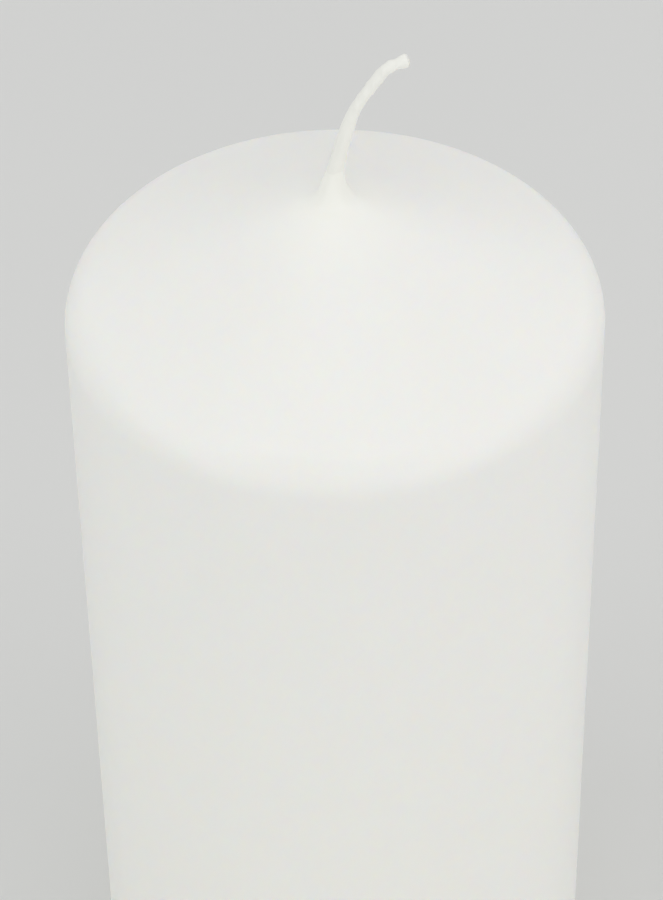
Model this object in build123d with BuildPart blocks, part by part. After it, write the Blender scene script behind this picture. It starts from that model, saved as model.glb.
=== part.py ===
from build123d import *

import math
import os

# A white overdipped pillar candle: a wax core, a hard overdip skin with a conical top and a soft
# shoulder, a sheet-steel wick sustainer in the base, and a wax-primed wick of three plaited strands
# that leans over at its tip.
# Frame: origin at the centre of the base, +Z up the candle's axis, the wick leans towards +X, turned
# by wick_lean_turn about +Z. Millimetres and degrees.

# Body
body_radius = 35.0
apex_height = 150.0  # where the cone's sides would meet on the axis
cone_slope = 25.5  # of the cone's side, from level
shoulder_radius = 5.8  # rounding between the wall and the cone
base_round = 1.0  # rounding of the bottom edge
skin = 1.5  # thickness of the overdip

# Wax foot that the overdip draws up round the wick
foot_fillet = 8.0
foot_steepness = 75.0  # of the foot's side at its top, from level
foot_top_radius = 1.25

# Wick: a flat plait, wide across the plane it leans in, inside its primer wax
wick_lean_turn = 8.0
coat_outer = (0.85, 1.05)  # half thickness in the lean plane, half width across it
coat_inner = (0.75, 0.95)
coat_fit = 0.03  # gap between the primer wax and what is round it
coat_short = 1.3  # length of bare strands at the tip
plait_half_width = 0.68  # of the strands' centre lines
plait_half_depth = 0.46
plait_pitch = 8.0
plait_steps = 6  # points of a strand's line in one pitch
plait_start = 1 / 12  # of a pitch: puts the points where the strand turns, none of them in line
strand_count = 3
strand_radius = 0.245

# Sustainer: a pressed disc with a crimped neck, set in a recess of the base
disc_radius = 8.0
sheet = 0.3
neck_radius = 1.40
neck_height = 3.5  # above the disc
recess_radius = 8.5
recess_depth = 1.2
neck_fit = 0.05

# Wick line in its own plane: distance out from the axis, height above the base
wick_line = [
    (0.0, 0.95),
    (0.0, 154.5),
    (1.3, 158.6),
    (2.7, 162.6),
    (5.2, 166.7),
    (6.9, 168.9),
    (8.4, 169.4),
    (9.7, 169.85),
]
arc_share = 0.45  # of the shorter run beside a corner that its arc takes up

shoulder_height = apex_height - (
    shoulder_radius * math.cos(math.radians(cone_slope))
    + (body_radius - shoulder_radius * (1 - math.sin(math.radians(cone_slope))))
    * math.tan(math.radians(cone_slope))
)


def slope_point(centre, radius, angle):
    """Point on a circle, at an angle from level."""
    turn = math.radians(angle)
    return (centre[0] + radius * math.cos(turn), centre[1] + radius * math.sin(turn))


def corner_radii(points):
    """Largest even arc at each corner: arc_share of its shorter run over tan of half the turn."""
    corners = [Vector(point) for point in points]
    runs = [after - before for before, after in zip(corners, corners[1:])]
    return [
        arc_share * min(run.length, onward.length)
        / math.tan(math.radians(run.get_angle(onward)) / 2)
        for run, onward in zip(runs, runs[1:])
    ]


# Half section of the core, up to where the overdip lies on it
shoulder_centre = (body_radius - shoulder_radius, shoulder_height)
core_radius = body_radius - skin
core_apex = apex_height - skin / math.cos(math.radians(cone_slope))
core_shoulder_end = slope_point(shoulder_centre, shoulder_radius - skin, 90 - cone_slope)


def core_outline():
    """Wall, shoulder arc and cone side of the core, from the base edge to the axis."""
    Line((core_radius, 0), (core_radius, shoulder_height))
    CenterArc(shoulder_centre, shoulder_radius - skin, 0, 90 - cone_slope)
    Line(core_shoulder_end, (0, core_apex))


# The wick's centre line: straight runs joined by tangent arcs, in the plane it leans in
lean_plane = Plane.XZ.rotated((0, 0, wick_lean_turn))
with BuildLine(lean_plane) as wick_route:
    FilletPolyline(*wick_line, radius=corner_radii([(x, y, 0) for x, y in wick_line]))
route = wick_route.wire()
across = Vector(0, 1, 0).rotate(Axis.Z, wick_lean_turn)
wick_section = Plane(route @ 0, x_dir=lean_plane.x_dir, z_dir=(0, 0, 1))

# Wax core, with the bore that the wick fills and the recess for the sustainer
with BuildPart() as wax_core:
    with BuildSketch(Plane.XZ):
        with BuildLine():
            core_outline()
            Polyline((0, core_apex), (0, 0), (core_radius, 0))
        make_face()
    revolve(axis=Axis.Z)
    with BuildSketch(Plane.XY):
        Circle(recess_radius)
    extrude(amount=recess_depth, mode=Mode.SUBTRACT)
    with BuildSketch(Plane.XY):
        Circle(neck_radius + neck_fit)
    extrude(amount=recess_depth + neck_height + neck_fit, mode=Mode.SUBTRACT)
    with BuildSketch(Plane.XY):
        Ellipse(coat_outer[0] + coat_fit, coat_outer[1] + coat_fit, rotation=wick_lean_turn)
    extrude(amount=apex_height, mode=Mode.SUBTRACT)

# Overdip: the hard outer skin, open at the base, drawn up into a foot at the wick
foot_turn = math.radians(foot_steepness)
cone_turn = math.radians(cone_slope)
foot_start_radius = foot_top_radius + foot_fillet * (math.sin(foot_turn) - math.sin(cone_turn))
foot_start = (foot_start_radius, apex_height - foot_start_radius * math.tan(cone_turn))
foot_centre = slope_point(foot_start, foot_fillet, 90 - cone_slope)
foot_top = slope_point(foot_centre, foot_fillet, 270 - foot_steepness)
base_centre = (body_radius - base_round, base_round)

with BuildPart() as overdip_shell:
    with BuildSketch(Plane.XZ):
        with BuildLine():
            core_outline()
            Line((core_radius, 0), (body_radius - base_round, 0))
            CenterArc(base_centre, base_round, -90, 90)
            Line((body_radius, base_round), (body_radius, shoulder_height))
            outer_shoulder = CenterArc(shoulder_centre, shoulder_radius, 0, 90 - cone_slope)
            Line(outer_shoulder @ 1, foot_start)
            CenterArc(foot_centre, foot_fillet, 270 - cone_slope, cone_slope - foot_steepness)
            Polyline(foot_top, (0, foot_top[1]), (0, core_apex))
        make_face()
    revolve(axis=Axis.Z)
    with BuildSketch(Plane.XY.offset(core_apex - skin)):
        Ellipse(coat_outer[0] + coat_fit, coat_outer[1] + coat_fit, rotation=wick_lean_turn)
    extrude(until=Until.LAST, mode=Mode.SUBTRACT)

# Sustainer: disc and neck pressed from one sheet, the neck crimped on the primed wick
neck_bore = coat_outer[1] + coat_fit
with BuildPart() as wick_sustainer:
    with BuildSketch(Plane.XY.offset(recess_depth - sheet)):
        Circle(disc_radius)
        Circle(neck_bore, mode=Mode.SUBTRACT)
    extrude(amount=sheet)
    with BuildSketch(Plane.XY.offset(recess_depth)):
        Circle(neck_radius)
        Circle(neck_bore, mode=Mode.SUBTRACT)
    extrude(amount=neck_height)

# Primer wax: an oval sleeve round the plait, short of the wick's tip
coat_length = route.length - coat_short
with BuildPart() as wick_wax_coat:
    with BuildSketch(wick_section):
        Ellipse(*coat_outer)
        Ellipse(*coat_inner, mode=Mode.SUBTRACT)
    sweep(path=route.trim(0, coat_length / route.length))


def strand_points(number):
    """One strand of the plait: sin(turn) across the wick and sin(2 turn) through it."""
    step = plait_pitch / plait_steps
    points = []
    for count in range(int(route.length / step) + 1):
        along = count * step
        turn = 2 * math.pi * (along / plait_pitch + number / strand_count + plait_start)
        heading = route.tangent_at(along, position_mode=PositionMode.LENGTH)
        through = across.cross(heading)
        points.append(
            route.position_at(along, position_mode=PositionMode.LENGTH)
            + across * (plait_half_width * math.sin(turn))
            + through * (plait_half_depth * math.sin(2 * turn))
        )
    return points


# Three plaited cotton strands
wick_strands = []
for number in range(strand_count):
    line_points = strand_points(number)
    with BuildPart() as wick_strand:
        with BuildLine():
            strand_line = FilletPolyline(*line_points, radius=corner_radii(line_points))
        with BuildSketch(Plane(strand_line @ 0, z_dir=strand_line % 0)):
            Circle(strand_radius)
        sweep()
    wick_strands.append(wick_strand)

pieces = {
    "wax_core": wax_core,
    "overdip_shell": overdip_shell,
    "wick_sustainer": wick_sustainer,
    "wick_wax_coat": wick_wax_coat,
}
for number, wick_strand in enumerate(wick_strands, start=1):
    pieces[f"wick_strand_{number}"] = wick_strand

os.makedirs("parts", exist_ok=True)
for name, piece in pieces.items():
    piece.part.label = name
    export_step(piece.part, f"parts/{name}.step")
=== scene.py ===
import math

import bpy
import numpy as np
from mathutils import Matrix, Vector


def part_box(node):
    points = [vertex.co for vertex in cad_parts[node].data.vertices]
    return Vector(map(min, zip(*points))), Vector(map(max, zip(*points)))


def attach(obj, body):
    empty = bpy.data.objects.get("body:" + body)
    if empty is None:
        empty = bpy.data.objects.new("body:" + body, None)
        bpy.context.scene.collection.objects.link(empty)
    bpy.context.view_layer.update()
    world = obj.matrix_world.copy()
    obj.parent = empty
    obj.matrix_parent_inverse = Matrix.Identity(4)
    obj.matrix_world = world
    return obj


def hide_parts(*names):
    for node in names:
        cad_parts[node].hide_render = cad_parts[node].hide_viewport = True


# A white overdipped pillar candle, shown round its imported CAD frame. Everything is in metres, in the
# row frame: origin at the centre of the base, +Z up the candle, the wick leaning towards +X.

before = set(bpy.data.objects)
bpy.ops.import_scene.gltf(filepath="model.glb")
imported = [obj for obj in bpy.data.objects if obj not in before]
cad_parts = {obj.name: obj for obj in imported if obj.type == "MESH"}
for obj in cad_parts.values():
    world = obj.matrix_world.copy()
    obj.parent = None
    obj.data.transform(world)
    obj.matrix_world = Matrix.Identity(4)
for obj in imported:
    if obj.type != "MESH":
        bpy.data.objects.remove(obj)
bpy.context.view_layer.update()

MM = 0.001
TURN = 2 * math.pi

# Wax body: its sizes from the CAD boxes, and the slope and rounding that the CAD was drawn with
skin_low, skin_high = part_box("overdip_shell")
core_low, core_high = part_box("wax_core")
disc_low, disc_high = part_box("wick_sustainer")
BODY_RADIUS = (skin_high.x - skin_low.x) / 2
CORE_RADIUS = (core_high.x - core_low.x) / 2
SKIN = BODY_RADIUS - CORE_RADIUS
CONE_SLOPE = math.radians(25.5)
SHOULDER_RADIUS = 5.8 * MM
BASE_ROUND = 1.0 * MM

# The CAD foot, an arc from the cone to a steep edge, gives the height of the cone's apex
FOOT_STEEPNESS = math.radians(75)
FOOT_FILLET = 8.0 * MM
FOOT_TOP_RADIUS = 1.25 * MM
FOOT_RISE = FOOT_FILLET * (math.cos(CONE_SLOPE) - math.cos(FOOT_STEEPNESS)) - math.tan(CONE_SLOPE) * (
    FOOT_TOP_RADIUS + FOOT_FILLET * (math.sin(FOOT_STEEPNESS) - math.sin(CONE_SLOPE))
)
APEX_Z = skin_high.z - FOOT_RISE
SHOULDER_Z = APEX_Z - (
    SHOULDER_RADIUS * math.cos(CONE_SLOPE)
    + (BODY_RADIUS - SHOULDER_RADIUS * (1 - math.sin(CONE_SLOPE))) * math.tan(CONE_SLOPE)
)

# The drawn foot: radius of its collar, the collar's height over the apex, how fast the foot spreads, how
# far it reaches down the cone, and its lip, which leans in above the collar
FOOT_COLLAR = 1.0 * MM
FOOT_HEIGHT = 3.7 * MM
FOOT_SPREAD = 0.85 * MM
FOOT_REACH = 8 * MM
LIP_HEIGHT = 0.9 * MM
LIP_LEAN = 0.16 * MM

# The wick's oval fades out from the collar, the foot is uneven in a band of radii, and its rings take up
# the wick's lean from one height over the apex, over a short way up
COLLAR_FADE = 1.3 * MM
UNEVEN_RADIUS = 2.0 * MM
UNEVEN_WIDTH = 0.6 * MM
FOLLOW_FROM = -1 * MM
FOLLOW_OVER = 2 * MM

# Size of the dipped wax's slow waves on the wall and on the cone, the distances over which they grow up
# from the base and out from the wick, and the calm round the wick
WALL_WAVES = 0.020 * MM
CONE_WAVES = 0.015 * MM
WAVES_FROM_BASE = 6 * MM
WAVES_FROM_WICK = 12 * MM
CALM_RADIUS = 4 * MM

# Folds of the foot: degrees round the axis, then height over the apex, width, height and size in mm
FOOT_FOLDS = (
    (184, 2.1, 0.35, 0.60, 0.12),
    (205, 2.4, 0.24, 0.70, -0.06),
    (355, 2.4, 0.30, 0.50, 0.10),
)

# Inside the skin, its roof closes to a small hole round the axis, this far below the apex
SKIN_HOLE = 0.05 * MM
SKIN_ROOF_DROP = 1.7 * MM

# The core's bore, the wider seat of the sustainer's neck, its gaps, and the turned rings of its base
CORE_BORE = 1.12 * MM
CORE_NECK = 1.47 * MM
CORE_GAP = 0.02 * MM
NECK_GAP = 0.05 * MM
TURNED_HEIGHT = 0.012 * MM
TURNED_PITCH = 0.42 * MM

# Heights between which scattering fades out, below the seam of the foot and the primer wax
BELOW_SEAM = (APEX_Z - 7 * MM, APEX_Z + 1 * MM)

# Sustainer and its recess
RECESS_RADIUS = 8.5 * MM
RECESS_EDGE = 0.3 * MM
RECESS_DEPTH = disc_high.z - 3.5 * MM
DISC_RADIUS = (disc_high.x - disc_low.x) / 2
SHEET = 0.3 * MM

# Wick: centre line in its lean plane, as distance out from the axis and height over the cone's apex
LEAN_TURN = math.radians(8)
WICK_POINTS = [
    (0.00, -3.0),
    (0.00, -1.0),
    (0.03, 0.9),
    (0.22, 3.0),
    (0.93, 6.3),
    (1.90, 10.1),
    (3.05, 13.2),
    (4.62, 15.8),
    (6.20, 18.0),
    (7.05, 18.9),
    (8.30, 19.4),
    (9.65, 19.85),
]
WICK_FOOT_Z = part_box("wick_wax_coat")[0].z
PLAIT_PITCH = 6.0 * MM
PLAIT_HALF_WIDTH = 0.50 * MM
PLAIT_HALF_DEPTH = 0.285 * MM
STRAND_HALF_WIDTH = 0.36 * MM
STRAND_HALF_DEPTH = 0.24 * MM
STRAND_YARNS = 6
YARN_TWIST = 1.9 * MM
YARN_GROOVE = 0.14
TIP_LENGTH = 1.2 * MM
TIP_SPREAD = 0.1


# ---------------------------------------------------------------- meshes


def linked_mesh(name, vertices, quads, triangles, material, smooth):
    """A mesh object of these points and faces, with its material, in the scene."""
    mesh = bpy.data.meshes.new(name)
    mesh.from_pydata(vertices.tolist(), [], quads.tolist() + triangles.tolist())
    mesh.polygons.foreach_set("use_smooth", np.full(len(mesh.polygons), smooth))
    mesh.materials.append(material)
    mesh.update()
    linked = bpy.data.objects.new(name, mesh)
    bpy.context.scene.collection.objects.link(linked)
    return linked


def mesh_piece(name, vertices, quads, triangles, material):
    """A smooth mesh object whose faces are turned so that its enclosed volume is positive: the volume is
    a sixth of the sum, over all triangles, of a corner times the cross product of the other two."""
    corners = np.vstack([quads[:, [0, 1, 2]], quads[:, [0, 2, 3]], triangles])
    a, b, c = (vertices[corners[:, i]] for i in range(3))
    if np.einsum("ij,ij->", a, np.cross(b, c)) < 0:
        quads, triangles = quads[:, ::-1], triangles[:, ::-1]
    return linked_mesh(name, vertices, quads, triangles, material, True)


def ring_faces(rings, around, looped):
    """Quads between neighbouring rings of a grid; a looped grid also joins its last ring to its first."""
    ring = np.arange(rings if looped else rings - 1)[:, None]
    place = np.arange(around)[None, :]
    near, far = ring * around, (ring + 1) % rings * around
    beside = (place + 1) % around
    corners = [near + place, near + beside, far + beside, far + place]
    return np.stack(corners, axis=-1).reshape(-1, 4)


def fan_faces(centre, ring, around):
    """Triangles from a centre to the points of a ring that starts at that number."""
    here, beside = np.arange(around), (np.arange(around) + 1) % around
    return np.stack([np.full(around, centre), ring + here, ring + beside], axis=-1)


def looped_surface(name, points, material):
    """A closed surface of a grid of points [ring, place, xyz] that wraps both ways, like a dough ring."""
    quads = ring_faces(*points.shape[:2], True)
    return mesh_piece(name, points.reshape(-1, 3), quads, np.empty((0, 3), int), material)


def capped_tube(name, points, material):
    """A closed tube of a grid of points [ring, place, xyz]: each end ring is fanned to its own centre."""
    rings, around = points.shape[:2]
    first, last = rings * around, rings * around + 1
    caps = np.vstack([
        fan_faces(first, 0, around)[:, [0, 2, 1]],
        fan_faces(last, (rings - 1) * around, around),
    ])
    vertices = np.vstack([points.reshape(-1, 3), points[0].mean(0), points[-1].mean(0)])
    return mesh_piece(name, vertices, ring_faces(rings, around, False), caps, material)


def arc(centre, radius, start, end, count):
    """Points of an arc: centre plus radius times (cos, sin) of an angle that runs evenly, in degrees."""
    angle = np.radians(np.linspace(start, end, count))
    return np.stack([centre[0] + radius * np.cos(angle), centre[1] + radius * np.sin(angle)], axis=-1)


def run(start, end, count):
    """Points spaced evenly on a straight line, without its two ends."""
    share = np.linspace(0, 1, count + 2)[1:-1, None]
    return np.array(start) * (1 - share) + np.array(end) * share


def spun(profile, angles):
    """Radius r and height z turned round the axis: x = r cos(angle), y = r sin(angle), z unchanged."""
    radius, height = profile[:, None, 0], profile[:, None, 1]
    x, y = radius * np.cos(angles), radius * np.sin(angles)
    return np.stack([x, y, height + 0 * x], axis=-1)


def swell(angles, heights, size):
    """Slow waves round and up a dipped wall: a size times a sum of sines of a whole number of angles plus
    a number of heights, each over its own whole number."""
    waves = ((2, 31, 0.4), (3, 47, 2.1), (5, 83, 4.0), (7, 140, 1.2))
    total = sum(np.sin(n * angles + k * heights + lead) / n for n, k, lead in waves)
    return size * total


# ---------------------------------------------------------------- wax body


def body_profile(inset, top_radius, top_height):
    """Cone, shoulder arc and wall of the wax, drawn in by inset, from near the axis down to the base."""
    centre = (BODY_RADIUS - SHOULDER_RADIUS, SHOULDER_Z)
    slope_end = arc(centre, SHOULDER_RADIUS - inset, 90 - math.degrees(CONE_SLOPE), 0, 28)
    wall_foot = (BODY_RADIUS - inset, BASE_ROUND)
    return np.vstack([
        [(top_radius, top_height)],
        run((top_radius, top_height), slope_end[0], 40),
        slope_end,
        run(slope_end[-1], wall_foot, 60),
    ])


def foot_profile():
    """The wax foot's outline from its lip inside the primer wax down to the cone: a parabola that leans in
    at the top, then the cone's line plus a height that dies away as the exponential of the radius."""
    slope = math.tan(CONE_SLOPE)
    past = np.linspace(0, 1, 90) ** 1.6 * FOOT_REACH
    rise = (FOOT_HEIGHT + FOOT_COLLAR * slope) * np.exp(-past / FOOT_SPREAD)
    radius = FOOT_COLLAR + past
    flare = np.stack([radius, APEX_Z - radius * slope + rise], axis=-1)
    share = np.linspace(1, 0, 12)[:-1]
    lip = np.stack([FOOT_COLLAR - LIP_LEAN * share**2, flare[0, 1] + LIP_HEIGHT * share], axis=-1)
    return np.vstack([lip, flare])


def overdip_skin(material):
    """The outer skin: foot, cone, shoulder, wall and rounded base edge outside, then back up inside,
    one closed outline turned round the axis. Near the wick the rings turn from circles to the wick's oval
    and follow its lean, their radius wavers with angle, and bell curves raise and sink its small folds."""
    angles = np.linspace(0, TURN, 256, endpoint=False)
    foot = foot_profile()
    outside = np.vstack([foot[:-1], body_profile(0, *foot[-1])])
    edge = arc((BODY_RADIUS - BASE_ROUND, BASE_ROUND), BASE_ROUND, 0, -90, 10)
    inner = body_profile(SKIN, SKIN_HOLE, APEX_Z - SKIN_ROOF_DROP)[::-1]
    profile = np.vstack([outside, edge, [(CORE_RADIUS, 0)], inner])
    points = spun(profile, angles)
    height = points[..., 2]
    radius = np.hypot(points[..., 0], points[..., 1])
    out = np.zeros(len(profile))
    out[: len(outside)] = 1
    shown = out[:, None] * np.clip((height - BASE_ROUND) / WAVES_FROM_BASE, 0, 1)
    waves = swell(angles[None, :], height, WALL_WAVES) * shown * np.clip(radius / WAVES_FROM_WICK, 0, 1)
    collar = np.exp(-np.clip(radius - FOOT_COLLAR, 0, 1) / COLLAR_FADE) * out[:, None]
    uneven = 0.16 * np.sin(angles + 2.6) + 0.10 * np.sin(2 * angles + 0.5) + 0.06 * np.sin(3 * angles)
    near = np.exp(-(((radius - UNEVEN_RADIUS) / UNEVEN_WIDTH) ** 2)) * out[:, None]
    drawn = radius - waves + collar * (wick_oval(angles, height) - FOOT_COLLAR) + near * uneven * MM
    for turn, level, wide, high, size in FOOT_FOLDS:
        away = np.angle(np.exp(1j * (angles[None, :] - math.radians(turn)))) * FOOT_COLLAR
        bell = np.exp(-((away / (wide * MM)) ** 2) - ((height - APEX_Z - level * MM) / (high * MM)) ** 2)
        drawn = drawn + size * MM * bell * out[:, None]
    follow = np.clip((height - APEX_Z - FOLLOW_FROM) / FOLLOW_OVER, 0, 1) * out[:, None]
    points[..., 0] = drawn * np.cos(angles) + follow * np.interp(height, LINE[:, 2], LINE[:, 0])
    points[..., 1] = drawn * np.sin(angles) + follow * np.interp(height, LINE[:, 2], LINE[:, 1])
    flat = (radius < BODY_RADIUS - SHOULDER_RADIUS) * (radius > CALM_RADIUS) * shown
    points[..., 2] = height + swell(angles[None, :] + 1.7, radius, CONE_WAVES) * flat
    piece = looped_surface("overdip_skin", points, material)
    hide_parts("overdip_shell")
    return piece


def core_block(material):
    """The wax core: bore, cone, shoulder, wall, base and recess in one closed outline turned round the
    axis; the base has faint turned rings, the square of a sine of the radius."""
    angles = np.linspace(0, TURN, 192, endpoint=False)
    neck_top = disc_high.z + NECK_GAP
    outside = body_profile(SKIN + CORE_GAP, CORE_BORE, core_high.z - CORE_GAP)
    base_run = run((CORE_RADIUS - CORE_GAP, 0), (RECESS_RADIUS + RECESS_EDGE, 0), 90)
    base_run[:, 1] += TURNED_HEIGHT * np.sin(base_run[:, 0] / TURNED_PITCH) ** 2
    profile = np.vstack([
        outside,
        [(CORE_RADIUS - CORE_GAP, 0)],
        base_run,
        arc((RECESS_RADIUS + RECESS_EDGE, RECESS_EDGE), RECESS_EDGE, 270, 180, 6),
        run((RECESS_RADIUS, RECESS_EDGE), (RECESS_RADIUS, RECESS_DEPTH), 3),
        [(RECESS_RADIUS, RECESS_DEPTH)],
        run((RECESS_RADIUS, RECESS_DEPTH), (CORE_NECK, RECESS_DEPTH), 12),
        [(CORE_NECK, RECESS_DEPTH), (CORE_NECK, neck_top), (CORE_BORE, neck_top)],
        run((CORE_BORE, neck_top), (CORE_BORE, core_high.z), 40),
    ])
    piece = looped_surface("core_block", spun(profile, angles), material)
    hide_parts("wax_core")
    return piece


def pressed_sustainer(material):
    """The sustainer: disc and neck of one sheet. Six ribs are pressed down into the disc, the cube of a
    cosine's positive part, and four crimps pull the neck in, a raised cosine of the angle that ramps up
    and down with height."""
    angles = np.linspace(0, TURN, 144, endpoint=False)
    under, over = RECESS_DEPTH - SHEET, RECESS_DEPTH
    neck_in, neck_out = 1.10 * MM, 1.38 * MM
    half, bend, brim = SHEET / 2, 0.3 * MM, 0.14 * MM
    rib_depth, rib_from, rib_to, rib_fade = 0.22 * MM, 2.6 * MM, 7 * MM, 0.8 * MM
    crimp_depth, crimp_from, crimp_ramp, crimp_radius = 0.10 * MM, 0.6 * MM, 1 * MM, 1.2 * MM
    brim_z = disc_high.z - brim
    profile = np.vstack([
        run((neck_in, under), (DISC_RADIUS - half, under), 40),
        arc((DISC_RADIUS - half, under + half), half, -90, 90, 9),
        run((DISC_RADIUS - half, over), (neck_out + bend, over), 40),
        arc((neck_out + bend, over + bend), bend, 270, 180, 6),
        run((neck_out, over + bend), (neck_out, brim_z), 24),
        arc(((neck_in + neck_out) / 2, brim_z), brim, 0, 180, 7),
        run((neck_in, brim_z), (neck_in, under), 24),
    ])
    points = spun(profile, angles)
    radius = np.hypot(points[..., 0], points[..., 1])
    height = points[..., 2]
    ribbed = np.clip((radius - rib_from) / rib_fade, 0, 1) * np.clip((rib_to - radius) / rib_fade, 0, 1)
    ribs = rib_depth * ribbed * np.clip(np.cos(6 * angles), 0, 1) ** 3
    band = np.clip((height - over - crimp_from) / crimp_ramp, 0, 1)
    band *= np.clip((disc_high.z - height) / crimp_ramp, 0, 1)
    crimp = crimp_depth * band * (radius > crimp_radius) * (0.5 + 0.5 * np.cos(4 * angles))
    points[..., 0] -= crimp * np.cos(angles)
    points[..., 1] -= crimp * np.sin(angles)
    points[..., 2] -= ribs
    piece = looped_surface("pressed_sustainer", points, material)
    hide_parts("wick_sustainer")
    return piece


# ---------------------------------------------------------------- wick


def smooth_line(points, places):
    """Natural cubic through points by chord length: second slopes solve one band of linear equations."""
    points = np.array(points, float)
    chord = np.linalg.norm(np.diff(points, axis=0), axis=1)
    knots = np.concatenate([[0], np.cumsum(chord)])
    count = len(points)
    band, right = np.eye(count), np.zeros(points.shape)
    inner = np.arange(1, count - 1)
    band[inner, inner - 1] = chord[:-1]
    band[inner, inner] = 2 * (chord[:-1] + chord[1:])
    band[inner, inner + 1] = chord[1:]
    slopes = np.diff(points, axis=0) / chord[:, None]
    right[1:-1] = 6 * np.diff(slopes, axis=0)
    second = np.linalg.solve(band, right)
    where = places * knots[-1]
    part = np.clip(np.searchsorted(knots, where, side="right") - 1, 0, count - 2)
    h = chord[part][:, None]
    b = ((where - knots[part])[:, None]) / h
    a = 1 - b
    bend = (a**3 - a) * second[part] + (b**3 - b) * second[part + 1]
    return a * points[part] + b * points[part + 1] + bend * h**2 / 6


def wick_frame():
    """Centre line of the wick and its frames: straight up the axis inside the wax, then the smooth line
    of its lean. Returns distance along, points, the side direction and the direction through the plait."""
    outward = np.array([math.cos(LEAN_TURN), math.sin(LEAN_TURN), 0])
    across = np.array([-math.sin(LEAN_TURN), math.cos(LEAN_TURN), 0])
    flat = smooth_line(WICK_POINTS, np.linspace(0, 1, 520)) * MM
    bent = flat[:, :1] * outward + (flat[:, 1:] + APEX_Z) * np.array([0, 0, 1])
    straight = np.zeros((300, 3))
    straight[:, 2] = np.linspace(WICK_FOOT_Z, bent[0, 2], 301)[:-1]
    line = np.vstack([straight, bent])
    heading = np.gradient(line, axis=0)
    heading /= np.linalg.norm(heading, axis=1)[:, None]
    along = np.concatenate([[0], np.cumsum(np.linalg.norm(np.diff(line, axis=0), axis=1))])
    side = np.broadcast_to(across, line.shape)
    return along, line, side, np.cross(side, heading)


ALONG, LINE, ACROSS, THROUGH = wick_frame()
WICK_LENGTH = ALONG[-1]


def tip_share(length):
    """0 along the wick, rising smoothly to 1 over the last stretch of that length before its tip."""
    share = np.clip(1 - (WICK_LENGTH - ALONG) / length, 0, 1)
    return share * share * (3 - 2 * share)


def strand_centres(number):
    """Where a strand's centre lies in the wick's section: sin(turn) across and sin(2 turn) through, a
    little further out towards the tip."""
    turn = TURN * (ALONG / PLAIT_PITCH + number / 3)
    spread = 1 + TIP_SPREAD * tip_share(TIP_LENGTH)
    return (
        PLAIT_HALF_WIDTH * spread * np.sin(turn),
        PLAIT_HALF_DEPTH * spread * np.sin(2 * turn),
    )


def cotton_strand(number, material):
    """One strand: an oval section carried along its plaited line, its edge grooved between its twisted
    yarns by a rectified cosine of angle less twist, and rounded off at the cut end by a square root."""
    angles = np.linspace(0, TURN, 42, endpoint=False)
    side, depth = strand_centres(number)
    turned = angles[None, :] - ALONG[:, None] / YARN_TWIST * TURN / STRAND_YARNS
    yarns = 1 - YARN_GROOVE * (1 - np.abs(np.cos(STRAND_YARNS / 2 * turned)))
    round_off = np.sqrt(np.clip((WICK_LENGTH - ALONG + 0.02 * MM) / (0.14 * MM), 0.14, 1))[:, None]
    half_width = STRAND_HALF_WIDTH * yarns * round_off * np.cos(angles)
    half_depth = STRAND_HALF_DEPTH * yarns * round_off * np.sin(angles)
    points = (
        LINE[:, None, :]
        + ACROSS[:, None, :] * (side[:, None] + half_width)[..., None]
        + THROUGH[:, None, :] * (depth[:, None] + half_depth)[..., None]
    )
    piece = capped_tube(f"cotton_strand_{number + 1}", points, material)
    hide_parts(f"wick_strand_{number + 1}")
    return piece


# Distance back from the tip and half thickness of the primer wax there, in mm
SLEEVE = [
    (0.0, 0.78),
    (0.9, 0.82),
    (1.5, 0.62),
    (2.2, 0.59),
    (3.2, 0.66),
    (4.6, 0.69),
    (6.7, 0.66),
    (8.5, 0.68),
    (11.0, 0.76),
    (12.7, 0.86),
    (15.0, 0.94),
    (17.0, 0.96),
    (19.3, 1.02),
    (22.0, 1.08),
    (26.4, 1.00),
]
SLEEVE_SPREAD = 0.15 * MM


def sleeve_depth():
    """Half thickness of the wax sleeve along the wick: straight lines through SLEEVE's pairs of distance
    back from the tip and half thickness, averaged under a narrow bell curve."""
    pairs = np.array(SLEEVE)
    places = np.linspace(0, pairs[-1, 0], 240)
    back = np.clip((WICK_LENGTH - ALONG) / MM, 0, places[-1])
    bell = np.exp(-(((back[:, None] - places[None, :]) / 0.3) ** 2))
    return (bell @ np.interp(places, pairs[:, 0], pairs[:, 1])) / bell.sum(1) * MM


def wick_oval(angles, height):
    """Radius of the primed wick's oval at angles round the axis and at heights: product of its half sizes
    over the length of (depth times cosine, width times sine) of the angle from its wide direction."""
    depth = np.interp(height, LINE[:, 2], sleeve_depth())
    width = depth + SLEEVE_SPREAD
    turn = angles[None, :] - LEAN_TURN - TURN / 4
    return width * depth / np.hypot(depth * np.cos(turn), width * np.sin(turn))


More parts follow.
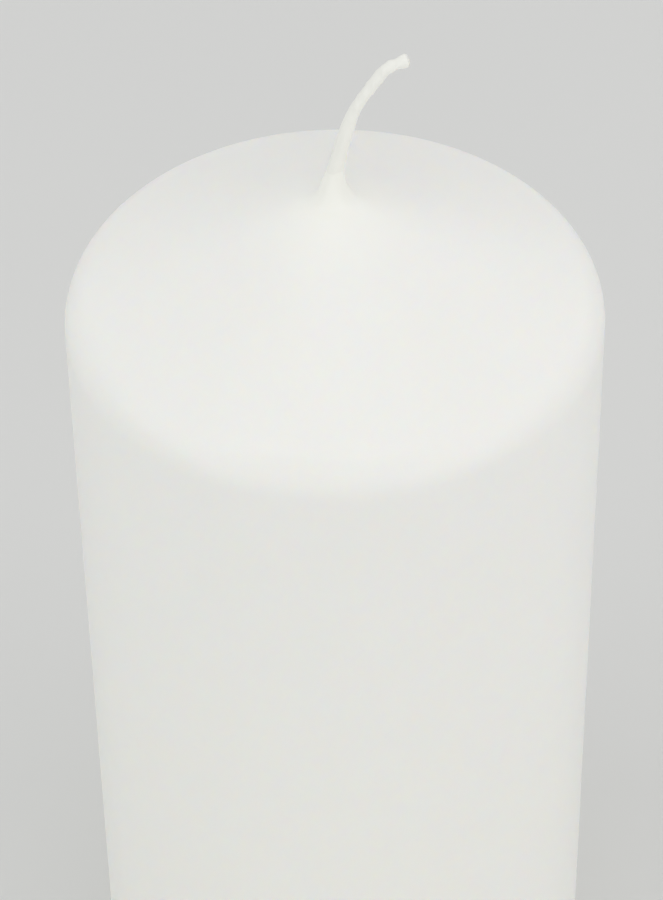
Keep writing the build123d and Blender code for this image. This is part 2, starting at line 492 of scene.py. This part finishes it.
def primer_coat(material):
    """The primer wax: the outermost distance from the wick's centre, in each direction, where a soft
    minimum of the distances to the three strands and to an oval wax sleeve equals the film's thickness.
    Two sines of angle and length make it waver, and its end is rounded over by a quarter circle."""
    short, rounding = 0.05 * MM, 0.30 * MM
    soft, film = 0.06 * MM, 0.04 * MM
    keep = ALONG < WICK_LENGTH - short
    angles = np.linspace(0, TURN, 60, endpoint=False)
    reach = np.linspace(1.75, 0.15, 80) * MM
    x = reach[None, None, :] * np.cos(angles)[None, :, None]
    y = reach[None, None, :] * np.sin(angles)[None, :, None]
    total = 0
    for number in range(3):
        side, depth = (value[keep][:, None, None] for value in strand_centres(number))
        away = np.hypot((x - side) / STRAND_HALF_WIDTH, (y - depth) / STRAND_HALF_DEPTH) - 1
        total = total + np.exp(-away * STRAND_HALF_DEPTH / soft)
    sleeve = (sleeve_depth()[keep] - film)[:, None, None]
    away = np.hypot(x / (sleeve + SLEEVE_SPREAD), y / sleeve) - 1
    total = total + np.exp(-away * sleeve / soft)
    level = -soft * np.log(total) - film
    inside = np.argmax(level < 0, axis=2)
    before = np.clip(inside - 1, 0, None)
    rows, columns = np.indices(inside.shape)
    high, low = level[rows, columns, before], level[rows, columns, inside]
    share = np.where(high > low, high / np.maximum(high - low, 1e-12), 0)
    radius = reach[before] + (reach[inside] - reach[before]) * np.clip(share, 0, 1)
    along = ALONG[keep][:, None]
    slow = 0.025 * np.sin(2 * angles + along / (1.3 * MM))
    quick = 0.015 * np.sin(3 * angles - along / (0.8 * MM))
    radius *= 1 + slow + quick
    to_end = np.clip((WICK_LENGTH - short - along) / rounding, 0, 1)
    radius *= 0.1 + 0.9 * np.sqrt(1 - (1 - to_end) ** 2)
    points = (
        LINE[keep][:, None, :]
        + ACROSS[keep][:, None, :] * (radius * np.cos(angles))[..., None]
        + THROUGH[keep][:, None, :] * (radius * np.sin(angles))[..., None]
    )
    piece = capped_tube("primer_coat", points, material)
    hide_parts("wick_wax_coat")
    return piece


# ---------------------------------------------------------------- materials


def new_material(name):
    """An empty principled material, with its tree, its shader and its Object coordinates."""
    material = bpy.data.materials.new(name)
    material.use_nodes = True
    tree = material.node_tree
    shader = tree.nodes["Principled BSDF"]
    place = tree.nodes.new("ShaderNodeTexCoord")
    return material, tree, shader, place.outputs["Object"]


def noise(tree, place, per_metre, detail=4, roughness=0.55):
    """A noise texture with so many cells to the metre."""
    node = tree.nodes.new("ShaderNodeTexNoise")
    node.inputs["Scale"].default_value = per_metre
    node.inputs["Detail"].default_value = detail
    node.inputs["Roughness"].default_value = roughness
    tree.links.new(place, node.inputs["Vector"])
    return node.outputs["Fac"]


def between(tree, value, low, high):
    """A colour ramp from low to high over the middle of a noise's range."""
    ramp = tree.nodes.new("ShaderNodeValToRGB")
    for element, colour, position in zip(ramp.color_ramp.elements, (low, high), (0.3, 0.7)):
        element.position = position
        element.color = (*colour, 1)
    tree.links.new(value, ramp.inputs["Fac"])
    return ramp.outputs["Color"]


def ranged(tree, value, low, high):
    """A noise value carried to the range from low to high."""
    node = tree.nodes.new("ShaderNodeMapRange")
    node.inputs["From Min"].default_value = 0.3
    node.inputs["From Max"].default_value = 0.7
    node.inputs["To Min"].default_value = low
    node.inputs["To Max"].default_value = high
    tree.links.new(value, node.inputs["Value"])
    return node.outputs["Result"]


def bumps(tree, shader, layers):
    """Bump layers, each a value and its height in metres, one on top of the other."""
    normal = None
    for value, height in layers:
        node = tree.nodes.new("ShaderNodeBump")
        node.inputs["Strength"].default_value = 1
        node.inputs["Distance"].default_value = height
        tree.links.new(value, node.inputs["Height"])
        if normal is not None:
            tree.links.new(normal, node.inputs["Normal"])
        normal = node.outputs["Normal"]
    tree.links.new(normal, shader.inputs["Normal"])


def stepped(tree, value, start, end, low, high):
    """A smooth step of a value: low up to start, high from end."""
    node = tree.nodes.new("ShaderNodeMapRange")
    node.interpolation_type = "SMOOTHSTEP"
    for socket, number in (("From Min", start), ("From Max", end), ("To Min", low), ("To Max", high)):
        node.inputs[socket].default_value = number
    tree.links.new(value, node.inputs["Value"])
    return node.outputs["Result"]


def scaled(tree, colour, tone):
    """A colour times a number."""
    scale = tree.nodes.new("ShaderNodeVectorMath")
    scale.operation = "SCALE"
    tree.links.new(colour, scale.inputs[0])
    tree.links.new(tone, scale.inputs["Scale"])
    return scale.outputs["Vector"]


def painted_light_and_shade(tree, place, colour):
    """Painted light and shade in the overdip's colour: painted shade darkens the wall towards the base, a
    painted pool of light whitens the cone round the wick, and the foot above the apex is a little darker."""
    parts = tree.nodes.new("ShaderNodeSeparateXYZ")
    tree.links.new(place, parts.inputs["Vector"])
    level = tree.nodes.new("ShaderNodeVectorMath")
    level.operation = "MULTIPLY"
    level.inputs[1].default_value = (1, 1, 0)
    tree.links.new(place, level.inputs[0])
    spread = tree.nodes.new("ShaderNodeVectorMath")
    spread.operation = "LENGTH"
    tree.links.new(level.outputs["Vector"], spread.inputs[0])
    # Painted shade down the wall, a painted pool of light round the wick, and a little darker on the foot
    for tone in (
        stepped(tree, parts.outputs["Z"], 0.35 * SHOULDER_Z, SHOULDER_Z, 0.984, 1),
        stepped(tree, spread.outputs["Value"], 3 * MM, 14 * MM, 1.02, 1),
        stepped(tree, parts.outputs["Z"], APEX_Z - 1 * MM, APEX_Z + 1.5 * MM, 1, 0.984),
    ):
        colour = scaled(tree, colour, tone)
    return colour


# Noise cells to the metre in the wax's tint, sheen, ripples and pores
TINT_CELLS, SHEEN_CELLS, RIPPLE_CELLS, PORE_CELLS = 90, 260, 220, 1400


def wax(name, light, dark, depth, roughness, grain, tone=None, scatter=None):
    """Wax: a cloudy tint, light scattered under the surface to a depth in metres, and a satin skin. The
    scatter value is a smooth step of height, as its two heights and the share of scattered light at each.
    Nothing scatters at the seam of foot and primer wax, which are fused: light that ended inside the
    other piece would draw a dark line there. With a depth of 0 nothing scatters anywhere."""
    material, tree, shader, place = new_material(name)
    colour = between(tree, noise(tree, place, TINT_CELLS), dark, light)
    # A tone, when given, paints light and shade into the colour
    if tone:
        colour = tone(tree, place, colour)
    tree.links.new(colour, shader.inputs["Base Color"])
    sheen = ranged(tree, noise(tree, place, SHEEN_CELLS), roughness - 0.05, roughness + 0.06)
    tree.links.new(sheen, shader.inputs["Roughness"])
    shader.inputs["Subsurface Weight"].default_value = 1 if depth else 0
    if scatter:
        parts = tree.nodes.new("ShaderNodeSeparateXYZ")
        tree.links.new(place, parts.inputs["Vector"])
        weight = stepped(tree, parts.outputs["Z"], *scatter)
        tree.links.new(weight, shader.inputs["Subsurface Weight"])
    shader.inputs["Subsurface Radius"].default_value = (1.0, 0.85, 0.65)
    shader.inputs["Subsurface Scale"].default_value = depth
    shader.inputs["IOR"].default_value = 1.44
    ripples = noise(tree, place, RIPPLE_CELLS, detail=2)
    pores = noise(tree, place, PORE_CELLS, detail=3)
    bumps(tree, shader, [(ripples, grain * 3), (pores, grain)])
    return material


def cotton(name):
    """Cotton yarn under a trace of wax: fine fibres as dense noise, patches of tint and a soft sheen."""
    material, tree, shader, place = new_material(name)
    fibres = noise(tree, place, 5200, detail=5)
    patches = noise(tree, place, 700, detail=2)
    tint = between(tree, patches, (0.84, 0.83, 0.77), (0.93, 0.925, 0.88))
    tree.links.new(tint, shader.inputs["Base Color"])
    tree.links.new(ranged(tree, fibres, 0.55, 0.8), shader.inputs["Roughness"])
    shader.inputs["Subsurface Weight"].default_value = 0.6
    shader.inputs["Subsurface Radius"].default_value = (1.0, 0.9, 0.75)
    shader.inputs["Subsurface Scale"].default_value = 0.3 * MM
    shader.inputs["Sheen Weight"].default_value = 0.3
    bumps(tree, shader, [(fibres, 0.03 * MM)])
    return material


def tinned_steel(name):
    """Tinned sheet: grey metal with cloudy tin and fine rolling scratches along X."""
    material, tree, shader, place = new_material(name)
    stretch = tree.nodes.new("ShaderNodeMapping")
    stretch.inputs["Scale"].default_value = (0.06, 1, 1)
    tree.links.new(place, stretch.inputs["Vector"])
    scratches = noise(tree, stretch.outputs["Vector"], 9000, detail=3)
    cloud = noise(tree, place, 500)
    tint = between(tree, cloud, (0.50, 0.50, 0.51), (0.66, 0.66, 0.67))
    tree.links.new(tint, shader.inputs["Base Color"])
    tree.links.new(ranged(tree, scratches, 0.28, 0.45), shader.inputs["Roughness"])
    shader.inputs["Metallic"].default_value = 1
    bumps(tree, shader, [(scratches, 0.004 * MM)])
    return material


def table_top(name):
    """Pale matt table: a plain grey with the least cloudiness."""
    material, tree, shader, place = new_material(name)
    cloud = noise(tree, place, 5, detail=2)
    tree.links.new(between(tree, cloud, FLOOR_DARK, FLOOR_LIGHT), shader.inputs["Base Color"])
    shader.inputs["Roughness"].default_value = 0.9
    shader.inputs["Specular IOR Level"].default_value = 0.2
    return material


# ---------------------------------------------------------------- studio

FLOOR_LIGHT = (0.718, 0.721, 0.711)
FLOOR_DARK = (0.710, 0.713, 0.703)
FLOOR_RINGS = 40
FLOOR_AROUND = 96
FLOOR_RADII = (0.02, 6)

# Soft boxes: name, azimuth and elevation in degrees, distance and size in metres, watts, colour
SOFT_BOXES = (
    ("top_box", 0, 88, 0.9, 0.8, 1.264, (1, 1, 1)),
    ("front_box", 0, 12, 1.0, 0.8, 0.784, (1, 1, 1)),
    ("left_box", -70, 30, 1.0, 0.8, 1.66, (0.985, 1.005, 1.0)),
    ("right_box", 70, 30, 1.0, 0.8, 1.41, (1.01, 1.0, 1.005)),
    ("low_left_box", -45, 4, 1.0, 0.8, 1.258, (0.99, 1.003, 1.0)),
    ("low_right_box", 45, 4, 1.0, 0.8, 1.852, (1.006, 1.0, 1.0)),
    ("back_box", 180, 45, 1.0, 0.8, 1.206, (1, 1, 1)),
    ("back_left_box", -125, 30, 1.0, 0.8, 0.554, (1, 1, 1)),
    ("back_right_box", 125, 30, 1.0, 0.8, 0.818, (1, 1, 1)),
)


def floor_disc(material):
    """A wide level disc: rings of points at radii that grow by even steps, with its centre closed."""
    angles = np.linspace(0, TURN, FLOOR_AROUND, endpoint=False)
    radii = np.linspace(*FLOOR_RADII, FLOOR_RINGS)
    profile = np.stack([radii, np.full(FLOOR_RINGS, skin_low.z)], axis=-1)
    vertices = np.vstack([spun(profile, angles).reshape(-1, 3), [(0, 0, skin_low.z)]])
    quads = ring_faces(FLOOR_RINGS, FLOOR_AROUND, False)[:, ::-1]
    centre = fan_faces(FLOOR_RINGS * FLOOR_AROUND, 0, FLOOR_AROUND)
    linked_mesh("floor", vertices, quads, centre, material, False)


def soft_box(name, azimuth, elevation, distance, size, power, colour):
    """A square soft light aimed at the candle's top; azimuth 0 is in front, 90 on the right."""
    light = bpy.data.lights.new(name, "AREA")
    light.size = size
    light.energy = power
    light.color = colour
    aim = Vector((0, 0, SHOULDER_Z))
    turn, rise = math.radians(azimuth), math.radians(elevation)
    back = Vector((math.sin(turn) * math.cos(rise), -math.cos(turn) * math.cos(rise), math.sin(rise)))
    lamp = bpy.data.objects.new(name, light)
    lamp.location = aim + back * distance
    lamp.rotation_euler = (-back).to_track_quat("-Z", "Y").to_euler()
    bpy.context.scene.collection.objects.link(lamp)


def studio_sky(colour, strength):
    """An even pale surround."""
    world = bpy.data.worlds.new("studio")
    world.use_nodes = True
    background = world.node_tree.nodes["Background"]
    background.inputs["Color"].default_value = (*colour, 1)
    background.inputs["Strength"].default_value = strength
    bpy.context.scene.world = world


# The camera's turns in degrees, its lens and sensor in mm, and its place in body radii from the middle of
# the shoulder plane
CAMERA_PITCH, CAMERA_YAW, CAMERA_ROLL = 43.32, -0.112, -0.906
CAMERA_LENS, CAMERA_SENSOR = 148.4, 36
CAMERA_BACK, CAMERA_UP = 10.351, 9.0715


def camera():
    """A long lens in front of the candle and above it."""
    pitch, yaw, roll = (math.radians(angle) for angle in (CAMERA_PITCH, CAMERA_YAW, CAMERA_ROLL))
    ahead = math.cos(pitch)
    forward = Vector((math.sin(yaw) * ahead, math.cos(yaw) * ahead, -math.sin(pitch)))
    level = Vector((math.cos(yaw), -math.sin(yaw), 0))
    upright = level.cross(forward)
    right = level * math.cos(roll) + upright * math.sin(roll)
    up = upright * math.cos(roll) - level * math.sin(roll)
    data = bpy.data.cameras.new("camera")
    data.lens = CAMERA_LENS
    data.sensor_width = CAMERA_SENSOR
    data.clip_start, data.clip_end = 0.01, 50
    eye = bpy.data.objects.new("camera", data)
    place = Matrix.Translation((0, -CAMERA_BACK * BODY_RADIUS, SHOULDER_Z + CAMERA_UP * BODY_RADIUS))
    eye.matrix_world = place @ Matrix((right, up, -forward)).transposed().to_4x4()
    bpy.context.scene.collection.objects.link(eye)
    bpy.context.scene.camera = eye


# ---------------------------------------------------------------- the candle

camera()
bpy.context.scene.view_settings.view_transform = "Standard"

body_light, body_dark = (0.946, 0.946, 0.886), (0.936, 0.936, 0.876)
# The overdip's colour carries painted shade down the wall and a painted pool of light round the wick
body_wax = wax(
    "overdip_wax", body_light, body_dark, 0.6 * MM, 0.36, 0.005 * MM, painted_light_and_shade, (*BELOW_SEAM, 1, 0)
)
core_wax = wax("core_wax", (0.90, 0.89, 0.84), (0.87, 0.86, 0.80), 1.5 * MM, 0.6, 0.02 * MM)
primer_wax = wax("primer_wax", (0.922, 0.922, 0.869), (0.902, 0.902, 0.849), 0, 0.34, 0.008 * MM)
yarn = cotton("wick_cotton")

pieces = [
    overdip_skin(body_wax),
    core_block(core_wax),
    pressed_sustainer(tinned_steel("sustainer_steel")),
    primer_coat(primer_wax),
]
pieces += [cotton_strand(number, yarn) for number in range(3)]
for piece in pieces:
    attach(piece, "root")

floor_disc(table_top("floor"))
studio_sky((1.0, 1.0, 1.0), 0.489)
for box in SOFT_BOXES:
    soft_box(*box)
